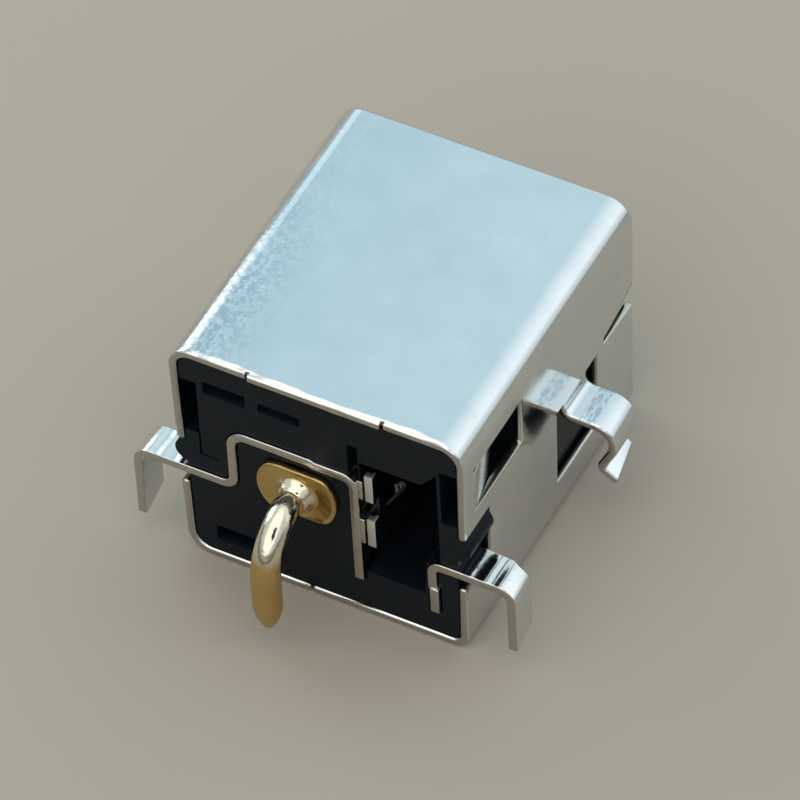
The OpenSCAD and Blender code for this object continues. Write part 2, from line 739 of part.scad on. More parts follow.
module tail() {
    r = tail_diameter / 2;
    straight_end = tail_bend - tail_reach;
    foot = pin_height - tail_bend;
    rod(r, straight_end, rear_recess);
    translate([0, straight_end, -tail_bend]) rotate([90, 0, -90]) rotate_extrude(angle = 90)
        translate([tail_bend, 0]) circle(r);
    translate([0, tail_end_y, tail_tip + tail_taper - pin_height])
        cylinder(h = foot - tail_tip - tail_taper, r = r);
    translate([0, tail_end_y, tail_tip - pin_height])
        cylinder(h = tail_taper, r1 = tail_tip_diameter / 2, r2 = r);
}

module centre_pin() color("#b58f45") from_rear() translate([pin_x, 0, pin_height]) {
    front = shell_length - pin_recess;
    r = pin_diameter / 2;
    rod(shank_diameter / 2, rear_recess - bite, bore_floor + bite);
    rod(r, bore_floor, front - pin_nose);
    rod(r, front - pin_nose, front, r - pin_nose);
    flange();
    tail();
}

// ---- Sleeve contact ----

// Cuts a leg's tip on a slant: its front corner ends higher than its rear corner
module slanted_tip(x, width) {
    across(x - overshoot, x + overshoot)
        polygon([[0, leg_tip - overshoot], [width + bite, leg_tip - overshoot],
            [width + bite, leg_tip + leg_slant], [0, leg_tip]]);
}

module sleeve_contact() color("#b7b0a3") from_rear() {
    difference() {
        run(0, sleeve_width) bent_strip(sleeve_points, sleeve_radii, strip);
        slanted_tip(sleeve_points[0][0], sleeve_width);
    }
    ear_right = bar_x + strip / 2 + ear_thickness;
    ear_front = sleeve_width - bite;
    block([ear_left, ear_setback, lower_prong_foot],
        [ear_right, ear_front, lower_prong_foot + lower_ear_height]);
    block([ear_left, ear_setback, upper_prong_foot], [ear_right, ear_front, upper_ear_top]);
    across(arm_mid - arm_width / 2, arm_mid + arm_width / 2)
        bent_strip(arm_points, arm_radii, arm_sheet);
}

// ---- Contact spring ----

module contact_spring() color("#c2bbae") from_rear() {
    right = fork_x + prong_width;
    left = right - leaf_sheet;
    mid = right - leaf_sheet / 2;
    feet = [lower_prong_foot, upper_prong_foot];
    tops = [lower_prong_foot + lower_prong_height, upper_prong_foot + upper_prong_height];
    for (i = [0, 1])
        block([fork_x, fork_setback, feet[i]], [right, fork_setback + prong_depth, tops[i]]);
    block([left, fork_setback, feet[1]], [right, bridge_end, tops[1]]);
    block([left, bridge_start, feet[0]], [right, bridge_end, tops[1]]);
    far = mid + leaf_swing;
    near = far - curl_width;
    translate([0, 0, feet[0]]) linear_extrude(lower_prong_height)
        bent_strip([[mid, fork_setback], [mid, bridge_end - bite], [far, leaf_length],
            [near, leaf_length], [near, leaf_length - curl_return]],
            [leaf_bend, curl_bend, curl_bend], leaf_sheet);
}

// ---- Switch terminal ----

module switch_terminal() color("#b7b0a3") from_rear() {
    start = switch_wall + switch_taper_start;
    end = switch_wall + switch_taper_end;
    difference() {
        run(0, switch_width) bent_strip(switch_points, switch_radii, strip);
        slanted_tip(switch_points[0][0], switch_leg_width);
        linear_extrude(shell_height) polygon([
            [start, switch_width], [end, switch_leg_width], [end + overshoot, switch_leg_width],
            [end + overshoot, switch_width + bite], [start, switch_width + bite]]);
    }
    low = switch_upright_x - strip / 2 + switch_step_shift;
    block([low, -switch_step_proud, switch_foot], [low + strip, switch_width, switch_step_height]);
}

shell();
housing();
centre_pin();
sleeve_contact();
contact_spring();
switch_terminal();
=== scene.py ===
# Board-mount barrel power jack: folded plated shell, black moulded housing, gold centre pin and
# tinned contact strips. Lengths are in millimetres here, and become metres when a mesh is made.
import math

import bmesh
import bpy
from mathutils import Matrix, Vector


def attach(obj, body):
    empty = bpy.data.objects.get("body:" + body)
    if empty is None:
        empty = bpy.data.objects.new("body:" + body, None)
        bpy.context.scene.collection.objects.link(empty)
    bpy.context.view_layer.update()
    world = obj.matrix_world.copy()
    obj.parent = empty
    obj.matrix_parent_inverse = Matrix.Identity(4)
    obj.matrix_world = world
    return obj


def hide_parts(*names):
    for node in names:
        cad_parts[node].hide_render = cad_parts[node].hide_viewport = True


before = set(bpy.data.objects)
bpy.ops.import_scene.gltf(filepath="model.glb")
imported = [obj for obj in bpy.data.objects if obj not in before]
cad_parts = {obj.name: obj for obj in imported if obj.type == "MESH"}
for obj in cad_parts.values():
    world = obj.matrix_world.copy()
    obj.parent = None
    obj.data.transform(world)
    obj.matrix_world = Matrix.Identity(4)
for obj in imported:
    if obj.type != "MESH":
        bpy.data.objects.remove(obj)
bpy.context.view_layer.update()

MM = 0.001
REAR = -5.065            # where the shell's rear edge lies along the row's Y


# ---- Small helpers ----

def add(tree, kind, inputs=None, **settings):
    """Adds a node. Settings are its properties; inputs are values, or outputs to link from."""
    made = tree.nodes.new(kind)
    for name, value in settings.items():
        setattr(made, name, value)
    for key, value in (inputs or {}).items():
        if isinstance(value, bpy.types.NodeSocket):
            tree.links.new(value, made.inputs[key])
        else:
            made.inputs[key].default_value = value
    return made


def linear(hex_colour):
    """A colour written as sRGB hex, as the linear RGBA that a shader takes."""
    parts = [int(hex_colour[i:i + 2], 16) / 255 for i in (1, 3, 5)]
    return tuple(p / 12.92 if p <= 0.04045 else ((p + 0.055) / 1.055) ** 2.4 for p in parts) + (1,)


def grain(size):
    """Texture scale that gives features of this size, in millimetres, on Object coordinates."""
    return 1 / (size * MM)


def placed(name, data):
    """A new object with this data, linked to the scene."""
    obj = bpy.data.objects.new(name, data)
    bpy.context.scene.collection.objects.link(obj)
    return obj


def piece(name, mesh, materials, *nodes, slot):
    """Puts a finished mesh in the scene, riding on the body, in place of its CAD nodes."""
    made = placed(name, mesh)
    for material in materials:
        if material.name not in mesh.materials:
            mesh.materials.append(material)
    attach(made, "root")
    if nodes:
        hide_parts(*nodes)
    return made


def baked(obj, name):
    """The object with its modifiers worked in, as a plain mesh; the object itself is removed."""
    bpy.context.view_layer.update()
    evaluated = obj.evaluated_get(bpy.context.evaluated_depsgraph_get())
    mesh = bpy.data.meshes.new_from_object(evaluated)
    mesh.name = name
    bpy.data.objects.remove(obj)
    return mesh


def worked(bm, name):
    """A bmesh in millimetres from the rear edge, as an object in the row's own frame."""
    bmesh.ops.transform(bm, matrix=Matrix.Scale(MM, 4) @ Matrix.Translation((0, REAR, 0)), verts=bm.verts)
    mesh = bpy.data.meshes.new(name)
    bm.to_mesh(mesh)
    bm.free()
    return placed(name, mesh)


SHARP = math.radians(38)     # edges that turn more than this are sheared or moulded ones


def soften_edges(obj, width, segments):
    """Rounds the sheared or moulded edges and keeps the broad faces flat in the light."""
    for face in obj.data.polygons:
        face.use_smooth = True
    bevel = obj.modifiers.new("edge_roll", "BEVEL")
    bevel.width = width * MM
    bevel.segments = segments
    bevel.limit_method = "ANGLE"
    bevel.angle_limit = SHARP
    normals = obj.modifiers.new("flat_faces", "WEIGHTED_NORMAL")
    normals.weight = 100
    normals.keep_sharp = True
    return bevel


# ---- Bent paths ----

def bent_path(points, radii, steps=10):
    """Points along a path in a plane, with its inner corners rounded to the given radii."""
    points = [Vector(p) for p in points]
    out = [points[0]]
    for a, b, c, r in zip(points, points[1:], points[2:], radii):
        before, after = (b - a).normalized(), (c - b).normalized()
        turn = before.angle_signed(after)
        side = Vector((before.y, -before.x)) * (1 if turn > 0 else -1)
        start = b - before * r * math.tan(abs(turn) / 2)
        centre = start + side * r
        for k in range(steps + 1):
            out.append(centre + Matrix.Rotation(-turn * k / steps, 2) @ (start - centre))
    return out + [points[-1]]


# ---- Finishes ----

def finish(name):
    """A new material, with its tree, its main shader and Object coordinates."""
    material = bpy.data.materials.new(name)
    material.use_nodes = True
    tree = material.node_tree
    shader = tree.nodes["Principled BSDF"]
    place = add(tree, "ShaderNodeTexCoord").outputs["Object"]
    return material, tree, shader, place


def dress(tree, shader, **sockets):
    """Sets sockets of the main shader, written with _ for a space: a link if given an output."""
    for name, value in sockets.items():
        socket = shader.inputs[name.replace("_", " ")]
        if isinstance(value, bpy.types.NodeSocket):
            tree.links.new(value, socket)
        else:
            socket.default_value = value


def apart(tree, vector):
    """The X, Y and Z outputs of a vector."""
    return add(tree, "ShaderNodeSeparateXYZ", {0: vector}).outputs


def between(tree, value, low, high, to_low=0.0, to_high=1.0, smooth=True):
    """The value mapped from one range to another, kept inside it."""
    return add(tree, "ShaderNodeMapRange",
               {"Value": value, "From Min": low, "From Max": high, "To Min": to_low, "To Max": to_high},
               interpolation_type="SMOOTHSTEP" if smooth else "LINEAR").outputs["Result"]


def calc(tree, operation, a, b=0.0):
    """One sum on two values."""
    return add(tree, "ShaderNodeMath", {0: a, 1: b}, operation=operation).outputs["Value"]


def times(tree, a, b):
    """The product of two values; of two masks, where both hold."""
    return calc(tree, "MULTIPLY", a, b)


def noise(tree, place, size, detail=2.0, squash=(1, 1, 1), turn=(0, 0, 0)):
    """Noise whose features have this size in millimetres, drawn out along an axis by squash."""
    laid = add(tree, "ShaderNodeMapping", {"Vector": place, "Rotation": turn, "Scale": squash})
    return add(tree, "ShaderNodeTexNoise", {"Vector": laid.outputs["Vector"], "Scale": grain(size),
                                            "Detail": detail}).outputs["Fac"]


def blend(tree, share, first, second):
    """The first colour where the share is 0 and the second where it is 1."""
    return add(tree, "ShaderNodeMix", {"Factor": share, "A": first, "B": second}, data_type="RGBA").outputs["Result"]


def raised(tree, height, depth, normal=None):
    """Relief of this depth in millimetres, over an earlier relief if one is given."""
    inputs = {"Height": height, "Distance": depth * MM}
    if normal is not None:
        inputs["Normal"] = normal
    return add(tree, "ShaderNodeBump", inputs).outputs["Normal"]


def bright_tin_plate():
    """Bright tin over nickel on cold-rolled strip, electroplated and then pressed and folded.
    It mirrors what is near it, slightly bowed and cloudy, with rub marks and a worn band by the left fold."""
    material, tree, shader, place = finish("bright_tin_plate")
    axis = apart(tree, place)
    across = times(tree, axis["X"], 1 / MM)
    aside = calc(tree, "ABSOLUTE", across)
    # Panels spring back after folding, so each is crowned by a few hundredths of a millimetre
    crown = times(tree, times(tree, across, across), -0.0055)
    # The blanking die pulled the top's rear edge down unevenly before it cut through
    uneven = calc(tree, "ADD", times(tree, axis["Y"], 1 / MM), times(tree, noise(tree, place, 1.1, 1), -0.28))
    pulled = times(tree, between(tree, uneven, REAR + 0.1, REAR - 0.14, 0.0, -1.0),
                   between(tree, axis["Z"], 6.0 * MM, 6.5 * MM))
    pulled = times(tree, pulled, between(tree, aside, 4.4, 3.5))
    clouds = noise(tree, place, 3.2, 2)
    patches = noise(tree, place, 1.3, 4)
    # Handling has worn the top beside the left fold into close fine pits, drawn larger than they are
    worn = times(tree, between(tree, axis["X"], -1.9 * MM, -4.1 * MM), between(tree, axis["Z"], 8.0 * MM, 8.1 * MM))
    worn = times(tree, worn, between(tree, axis["Y"], 3.0 * MM, -3.5 * MM, 0.15, 1.0))
    pits = noise(tree, place, 0.16, 4, (1, 0.7, 1))
    # The bending tool has rasped the crest of each lock leg, along the jack
    crest = times(tree, between(tree, aside, 4.84, 4.94), between(tree, aside, 5.38, 5.26))
    crest = times(tree, crest, between(tree, axis["Z"], 3.7 * MM, 3.78 * MM, 0.0, 0.9))
    rasp = noise(tree, place, 0.07, 3, (1, 0.35, 1))
    marks = calc(tree, "ADD", times(tree, pits, worn), times(tree, rasp, crest))
    dulled = calc(tree, "ADD", times(tree, between(tree, pits, 0.42, 0.58, 0.0, 0.6), worn),
                  times(tree, between(tree, rasp, 0.4, 0.6, 0.0, 0.8), crest))
    specks = times(tree, between(tree, noise(tree, place, 0.13, 2), 0.6, 0.68, 0.0, 0.8), worn)
    # Long hairline scratches in two directions
    hair = calc(tree, "ADD",
                between(tree, noise(tree, place, 0.4, 2, (0.12, 2.4, 1), (0, 0, 0.5)), 0.69, 0.72),
                between(tree, noise(tree, place, 0.4, 2, (2.2, 0.14, 1), (0, 0, -0.35)), 0.71, 0.74))
    tint = blend(tree, patches, linear("#cdd3d5"), linear("#e3e6e6"))
    tint = blend(tree, dulled, tint, linear("#98a9b5"))
    tint = blend(tree, specks, tint, linear("#fbfcfc"))
    rough = calc(tree, "ADD", between(tree, patches, 0.35, 0.7, 0.07, 0.13), times(tree, worn, 0.05))
    normal = None
    reliefs = ((crown, 1.0), (pulled, 0.085), (clouds, 0.013), (patches, 0.002), (marks, 0.006), (hair, 0.0007))
    for relief, depth in reliefs:
        normal = raised(tree, relief, depth, normal)
    dress(tree, shader, Metallic=1, Base_Color=tint, Roughness=rough, Normal=normal)
    return material


def sheared_edge():
    """The edge that a die leaves on the strip: a burnished band and a torn band of bare metal.
    It is greyer than the plated faces, and streaked through the sheet's thickness."""
    material, tree, shader, place = finish("sheared_edge")
    tears = noise(tree, place, 0.1, 3)
    dress(tree, shader, Metallic=1, Base_Color=blend(tree, tears, linear("#a8a49b"), linear("#cac6bd")),
          Roughness=0.22, Normal=raised(tree, tears, 0.002))
    return material


def tinned_brass():
    """Bright tin on stamped brass strip: nearly white, and rippled across where the leg was bent over."""
    material, tree, shader, place = finish("tinned_brass")
    rolled = noise(tree, place, 0.12, 3, (0.3, 1, 0.3))
    # Ripples lie across the strip, about half a millimetre apart, only outside the walls
    outside = between(tree, calc(tree, "ABSOLUTE", apart(tree, place)["X"]), 4.3 * MM, 4.45 * MM)
    ripple = add(tree, "ShaderNodeTexWave",
                 {"Vector": place, "Scale": 0.314 * grain(0.52), "Distortion": 1.4, "Detail": 2, "Detail Scale": 1.5},
                 bands_direction="X").outputs["Fac"]
    normal = raised(tree, times(tree, ripple, outside), 0.034)
    dress(tree, shader, Metallic=1, Base_Color=blend(tree, rolled, linear("#d2d4d3"), linear("#e8e9e6")),
          Roughness=between(tree, rolled, 0.3, 0.7, 0.1, 0.18), Normal=raised(tree, rolled, 0.003, normal))
    return material


def spring_steel():
    """Bare stainless spring strip, tumbled after blanking: grey and satin, so it shows even in the pocket.
    Between the prongs, from about 0.3 mm into the pocket, it is painted nearly black: painted shade."""
    material, tree, shader, place = finish("spring_steel")
    along = apart(tree, place)["Y"]
    # Painted shade: the steel between the prongs, deeper in the pocket, is coloured nearly black
    painted_shade = times(tree, between(tree, along, (REAR + 0.24) * MM, (REAR + 0.32) * MM),
                  between(tree, along, (REAR + 0.85) * MM, (REAR + 0.65) * MM))
    tumbled = noise(tree, place, 0.08, 3)
    dress(tree, shader, Metallic=1, Base_Color=blend(tree, painted_shade, linear("#dcdcd8"), linear("#1c1e20")),
          Roughness=between(tree, tumbled, 0.3, 0.7, 0.34, 0.46), Normal=raised(tree, tumbled, 0.002))
    return material


def gold_flash():
    """A thin gold flash over nickel on turned brass. It is gold on the flange and the tail's end; the boss and the
    tail's upper bend are painted a pale near-white, a painted highlight standing in for the glare that washes the gold
    out there."""
    material, tree, shader, place = finish("gold_flash")
    axis = apart(tree, place)
    clouds = noise(tree, place, 0.8, 3)
    gold = blend(tree, clouds, linear("#bda05f"), linear("#d0b378"))
    # Painted highlight: the boss and the tail's upper bend, above a cloudy line, are coloured pale near-white in place
    # of gold
    height = calc(tree, "ADD", axis["Z"], times(tree, clouds, 0.5 * MM))
    painted_glare = times(tree, between(tree, axis["Y"], (REAR - 0.105) * MM, (REAR - 0.175) * MM),
                 between(tree, height, 3.5 * MM, 3.85 * MM))
    normal = raised(tree, noise(tree, place, 0.35, 2), 0.012)
    dress(tree, shader, Metallic=1, Base_Color=blend(tree, times(tree, painted_glare, 0.85), gold, linear("#e2dfcc")),
          Roughness=between(tree, painted_glare, 0.0, 1.0, 0.2, 0.12),
          Normal=raised(tree, noise(tree, place, 0.1, 2), 0.0025, normal))
    return material


def moulded_pbt():
    """Black glass-filled PBT, injection moulded: blue-black and satin, with a spark-eroded grain."""
    material, tree, shader, place = finish("moulded_pbt")
    flow = noise(tree, place, 1.4, 3)
    dress(tree, shader, IOR=1.5, Specular_IOR_Level=0.12,
          Base_Color=blend(tree, flow, linear("#0a1118"), linear("#10181f")),
          Roughness=between(tree, flow, 0.3, 0.7, 0.26, 0.4), Normal=raised(tree, noise(tree, place, 0.09, 2), 0.004))
    return material


TIN = bright_tin_plate()
EDGE = sheared_edge()
STRIP = tinned_brass()
GOLD = gold_flash()
PBT = moulded_pbt()
SPRING = spring_steel()


# ---- Shell: one blank, laid out as the middle of its sheet, then thickened ----

SHEET = 0.25
SHELL_HEIGHT, SHELL_LENGTH = 8.22, 10.13
WALL_FOOT, WALL_LEAN = 4.355, 0.16       # how far out a wall stands at its foot, and how much more at the top
WALL_TILT = math.atan(WALL_LEAN / SHELL_HEIGHT)
FOLD, TIGHT_FOLD = 0.75, 0.5             # outer radius of the folds, and of the lower right one
SEAM, SEAM_GAP = 0.47, 0.05              # how far left of the middle the bottom seam is, and its gap
# Top's rear tab between two reliefs: its half width, how far it stands out, and the reliefs' width and depth
TAB, TAB_PROUD, RELIEF, RELIEF_DEPTH = 2.0, 0.06, 0.1, 0.13
# Rear notch in each wall: its depth, its foot, which is higher on the left, and its top
NOTCH_DEPTH, NOTCH_FOOT, NOTCH_TOP = 1.48, {1: 2.5, -1: 2.8}, 4.54
# Windows in each wall, as start, end, foot and top
LATCH = (0.6, 3.35, 5.25, 6.95)
LOCK = (5.5, 7.9, 1.3, 4.19)
# Latch finger: its length, the slits under and over it, its dip in degrees, its round corner and its bend
FINGER_LENGTH, FINGER_SLITS, FINGER_ANGLE, FINGER_CORNER, FINGER_BEND = 1.9, (0.07, 0.17), 12, 0.8, 0.4
FINGER_ROOT = 0.05
# Lock leg: its rear and front edge, its crest, its reach outside the wall, and its lower kink
LEG = (5.85, 7.25)
CREST, REACH, CREST_DROP, CREST_DRAW = 3.83, 1.62, 0.84, 0.05
KINK_HEIGHT, KINK_INSET, TOE_HEIGHT, TOE_CUT = 2.1, 0.42, 1.74, 0.27
LEG_BENDS = (0.36, 0.56, 0.28, 0.17)
# Mouth slot: its closed end, the start of its flare and its lower edge; then its upper edge at the
# closed end, at the flare and at the mouth
SLOT = (8.36, 9.49, 4.15)
SLOT_TOPS = (4.45, 4.65, 5.0)
INNER_WALL = 0.4                         # how far inside the wall a point still belongs to it
SAME = 0.01                              # less than this is no distance
EDGE_ROLL, NARROW_ROLL = 0.1, 0.3        # width of a rolled edge, and its share inside narrow cuts


def wall_x(z):
    """How far out the wall's outer face is at a height, as the walls lean apart towards the top."""
    return WALL_FOOT + WALL_LEAN * z / SHELL_HEIGHT


def arc(centre, radius, start, end, steps):
    """Points along a circle from one angle to another."""
    angles = [start + (end - start) * k / steps for k in range(steps + 1)]
    return [centre + radius * Vector((math.cos(a), math.sin(a))) for a in angles]


def half_section(side):
    """The sheet's middle from the bottom up one wall to the top, as (x, z) with x outwards."""
    fold = TIGHT_FOLD if side == 1 else FOLD
    low = Vector((wall_x(fold) - fold / math.cos(WALL_TILT), fold))
    high = Vector((wall_x(SHELL_HEIGHT - FOLD) - FOLD / math.cos(WALL_TILT), SHELL_HEIGHT - FOLD))
    heights = sorted({NOTCH_FOOT[side], LOCK[2], LOCK[3], SLOT[2], SLOT_TOPS[0], NOTCH_TOP, LATCH[2],
                      LATCH[2] + FINGER_SLITS[0], LATCH[3] - FINGER_SLITS[1], LATCH[3]})
    return (arc(low, fold - SHEET / 2, math.radians(-90), -WALL_TILT, 12)
            + [Vector((wall_x(z) - SHEET / 2, z)) for z in heights]
            + arc(high, FOLD - SHEET / 2, -WALL_TILT, math.radians(90), 16))


def shell_section():
    """The whole folded section, from the seam's right edge round to its left edge."""
    right = half_section(1)
    left = [Vector((-p.x, p.y)) for p in reversed(half_section(-1))]
    top = SHELL_HEIGHT - SHEET / 2
    across = [Vector((x, top)) for x in (TAB + RELIEF, TAB, 0, -TAB, -TAB - RELIEF)]
    return [Vector((-SEAM, SHEET / 2))] + right + across + left + [Vector((-SEAM - SEAM_GAP, SHEET / 2))]


def slot_top(y):
    """Height of the mouth slot's upper edge."""
    start, flare = SLOT[0], SLOT[1]
    if y <= flare:
        return SLOT_TOPS[0] + (SLOT_TOPS[1] - SLOT_TOPS[0]) * max(0, y - start) / (flare - start)
    return SLOT_TOPS[1] + (SLOT_TOPS[2] - SLOT_TOPS[1]) * (y - flare) / (SHELL_LENGTH - flare)


def cut_away(x, y, z):
    """True inside a window, notch, slot or relief of the blank."""
    if abs(x) < wall_x(z) - INNER_WALL:
        if z < 1:
            return y < 0
        return (y < 0 and abs(x) > TAB) or (TAB < abs(x) < TAB + RELIEF and y < RELIEF_DEPTH)
    side = 1 if x > 0 else -1
    return (y < 0
            or (y < NOTCH_DEPTH and NOTCH_FOOT[side] < z < NOTCH_TOP)
            or (LATCH[0] < y < LATCH[1] and LATCH[2] < z < LATCH[3])
            or (LOCK[0] < y < LOCK[1] and LOCK[2] < z < LOCK[3])
            or (y > SLOT[0] and SLOT[2] < z < slot_top(y)))


def shell_blank():
    """The folded blank without thickness, with its lock legs and latch fingers."""
    bm = bmesh.new()
    section = shell_section()
    rows = sorted({-TAB_PROUD, 0, RELIEF_DEPTH, LATCH[0], NOTCH_DEPTH, LATCH[1], LOCK[0], LEG[0], LEG[1], LOCK[1],
                   SLOT[0], SLOT[1], SHELL_LENGTH})
    grid = {}
    for i, p in enumerate(section):
        for j, y in enumerate(rows):
            x, z = p
            # Over the mouth slot the wall's rows follow the slot's flared upper edge
            if y > SLOT[0] and SLOT_TOPS[0] - SAME < z < LATCH[2] and abs(x) > WALL_FOOT - INNER_WALL:
                share = (z - SLOT_TOPS[0]) / (LATCH[2] - SLOT_TOPS[0])
                z = slot_top(y) + share * (LATCH[2] - slot_top(y))
                x = math.copysign(wall_x(z) - SHEET / 2, x)
            grid[i, j] = bm.verts.new((x, y, z))
    for i in range(len(section) - 1):
        for j in range(len(rows) - 1):
            corners = [grid[i, j], grid[i + 1, j], grid[i + 1, j + 1], grid[i, j + 1]]
            centre = sum((v.co for v in corners), Vector()) / 4
            if not cut_away(*centre):
                bm.faces.new(corners)
    for side in (1, -1):
        grow_lock_leg(bm, side)
        grow_latch_finger(bm, side)
    bmesh.ops.delete(bm, geom=[v for v in bm.verts if not v.link_faces], context="VERTS")
    # Flat parts become single faces, so that nothing limits the width of their rolled edges
    bmesh.ops.dissolve_limit(bm, angle_limit=math.radians(0.3), verts=bm.verts, edges=bm.edges)
    bmesh.ops.recalc_face_normals(bm, faces=bm.faces)
    return bm


def on_wall(side, out, y, z):
    """A point given by its distance outside the wall's outer face, as the leaning wall has it."""
    x = WALL_FOOT + out * math.cos(WALL_TILT) + z * math.sin(WALL_TILT)
    return Vector((side * x, y, z * math.cos(WALL_TILT) - out * math.sin(WALL_TILT)))


def corner_of_wall(bm, side, y, z):
    """The blank's own corner nearest to a place on the wall."""
    target = on_wall(side, -SHEET / 2, y, z)
    return min((v for v in bm.verts if v.co.x * side > 0), key=lambda v: (v.co - target).length)


def strip_of_faces(bm, first, rows):
    """Joins a row of corners to the next rows with faces."""
    last = first
    for row in rows:
        made = [bm.verts.new(p) for p in row]
        for a, b, c, d in zip(last, last[1:], made[1:], made):
            bm.faces.new((a, b, c, d))
        last = made
    return last


def grow_lock_leg(bm, side):
    """Leg bent out from the lock window's upper edge, with a kink and a turned-out toe."""
    top, out = CREST - SHEET / 2, REACH - SHEET / 2
    path = bent_path([(-SHEET / 2, LOCK[3]), (-SHEET / 2, top), (out, top), (out - CREST_DRAW, top - CREST_DROP),
                      (out - KINK_INSET, KINK_HEIGHT), (out + SHEET / 2, TOE_HEIGHT)], LEG_BENDS)
    first = [corner_of_wall(bm, side, y, LOCK[3]) for y in LEG]
    rows = [[on_wall(side, p.x, y, p.y) for y in LEG] for p in path[1:]]
    # The toe's front corner is cut back
    back = (path[-1] - path[-2]).normalized() * TOE_CUT
    rows[-1][1] = on_wall(side, path[-1].x - back.x, LEG[1], path[-1].y - back.y)
    strip_of_faces(bm, first, rows)


def grow_latch_finger(bm, side):
    """Finger bent in from the latch window's rear edge, with a rounded lower corner."""
    foot, top = LATCH[2] + FINGER_SLITS[0], LATCH[3] - FINGER_SLITS[1]
    mid = -SHEET / 2
    dive = (FINGER_LENGTH - FINGER_ROOT) * math.tan(math.radians(FINGER_ANGLE))
    path = bent_path([(LATCH[0], mid), (LATCH[0] + FINGER_ROOT, mid), (LATCH[0] + FINGER_LENGTH, mid - dive)],
                     [FINGER_BEND], 5)
    first = [corner_of_wall(bm, side, LATCH[0], z) for z in (foot, top)]
    last = strip_of_faces(bm, first, [[on_wall(side, p.y, p.x, z) for z in (foot, top)] for p in path[1:]])
    bmesh.ops.bevel(bm, geom=[last[0]], offset=FINGER_CORNER, segments=8, profile=0.5, affect="VERTICES")


# Where the reliefs and the slits round the latch fingers are, as ranges of |x|, y and z
NARROW_CUTS = (
    ((TAB - 0.06, TAB + RELIEF + 0.06), (-1, 0.2), (-1, 9)),
    ((3.4, 9), (LATCH[0] - 0.05, 2.6), (LATCH[2] - 0.1, LATCH[3] + 0.1)),
)


def weigh_edges(mesh):
    """Marks how far each sheared edge is rolled over; inside the narrow cuts it is much less."""
    bm = bmesh.new()
    bm.from_mesh(mesh)
    weight = bm.edges.layers.float.new("bevel_weight_edge")
    for edge in bm.edges:
        if len(edge.link_faces) != 2 or edge.calc_face_angle() < SHARP:
            continue
        x, y, z = (edge.verts[0].co + edge.verts[1].co) / 2 / MM
        y -= REAR
        narrow = any(near < abs(x) < far and rear < y < front and low < z < high
                     for (near, far), (rear, front), (low, high) in NARROW_CUTS)
        edge[weight] = NARROW_ROLL if narrow else 1.0
    bm.to_mesh(mesh)
    bm.free()


def make_shell():
    """Thickens the blank to both sides of its middle and rolls its edges."""
    blank = worked(shell_blank(), "shell_blank")
    thick = blank.modifiers.new("sheet", "SOLIDIFY")
    thick.thickness = SHEET * MM
    thick.offset = 0
    thick.use_even_offset = True
    thick.material_offset_rim = 1
    blank.data.materials.append(TIN)
    blank.data.materials.append(EDGE)
    solid = baked(blank, "folded_shell")
    weigh_edges(solid)
    shell = placed("shell_solid", solid)
    bevel = soften_edges(shell, EDGE_ROLL, 4)
    bevel.limit_method = "WEIGHT"
    bevel.use_clamp_overlap = False
    return piece("folded_shell", baked(shell, "folded_shell"), (TIN, EDGE), "shell", slot="shell")


make_shell()


# ---- Contact strips: a rolled strip swept along its bends ----

def shape_tree(name, lengths, counts=()):
    """A new tree that takes a line, some named lengths and counts and a material, with its inputs."""
    tree = bpy.data.node_groups.new(name, "GeometryNodeTree")
    sockets = [("Geometry", "NodeSocketGeometry")] + [(n, "NodeSocketFloat") for n in lengths]
    sockets += [(n, "NodeSocketInt") for n in counts] + [("Finish", "NodeSocketMaterial")]
    for socket, kind in sockets:
        tree.interface.new_socket(socket, in_out="INPUT", socket_type=kind)
    tree.interface.new_socket("Geometry", in_out="OUTPUT", socket_type="NodeSocketGeometry")
    return tree, add(tree, "NodeGroupInput").outputs


def end_tree(tree, mesh, material):
    """Makes the result real, gives it its material and puts it out."""
    real = add(tree, "GeometryNodeRealizeInstances", {"Geometry": mesh})
    dressed = add(tree, "GeometryNodeSetMaterial", {"Geometry": real.outputs["Geometry"], "Material": material})
    add(tree, "NodeGroupOutput", {"Geometry": dressed.outputs["Geometry"]})
    return tree


def pressed_strip_tree():
    """Sweeps a strip's section along the object's own bent line, rounding each bend."""
    tree, given = shape_tree("pressed_strip", ("Width", "Thickness", "Edge Radius"), ("Steps",))
    line = add(tree, "GeometryNodeMeshToCurve", {"Mesh": given["Geometry"]})
    radius = add(tree, "GeometryNodeInputNamedAttribute", {"Name": "bend"}, data_type="FLOAT")
    bent = add(tree, "GeometryNodeFilletCurve", {"Curve": line.outputs["Curve"], "Count": given["Steps"],
                                                 "Radius": radius.outputs["Attribute"]}, mode="POLY")
    facing = add(tree, "GeometryNodeSetCurveNormal", {"Curve": bent.outputs["Curve"], "Normal": (0, 1, 0)}, mode="FREE")
    section = add(tree, "GeometryNodeCurvePrimitiveQuadrilateral",
                  {"Width": given["Width"], "Height": given["Thickness"]}, mode="RECTANGLE")
    rolled = add(tree, "GeometryNodeFilletCurve",
                 {"Curve": section.outputs["Curve"], "Count": 3, "Radius": given["Edge Radius"]}, mode="POLY")
    swept = add(tree, "GeometryNodeCurveToMesh",
                {"Curve": facing.outputs["Curve"], "Profile Curve": rolled.outputs["Curve"], "Fill Caps": True})
    return end_tree(tree, swept.outputs["Mesh"], given["Finish"])


PRESSED_STRIP = pressed_strip_tree()
STRIP_EDGE = 0.045       # radius that the press leaves along the strip's edges


def run_tree(obj, tree, values):
    """Puts a tree on an object, with its inputs set by their names, and works it in."""
    modifier = obj.modifiers.new("shape", "NODES")
    modifier.node_group = tree
    sockets = {s.name: s.identifier for s in tree.interface.items_tree if s.in_out == "INPUT"}
    for name, value in values.items():
        modifier[sockets[name]] = value
    return baked(obj, obj.name)


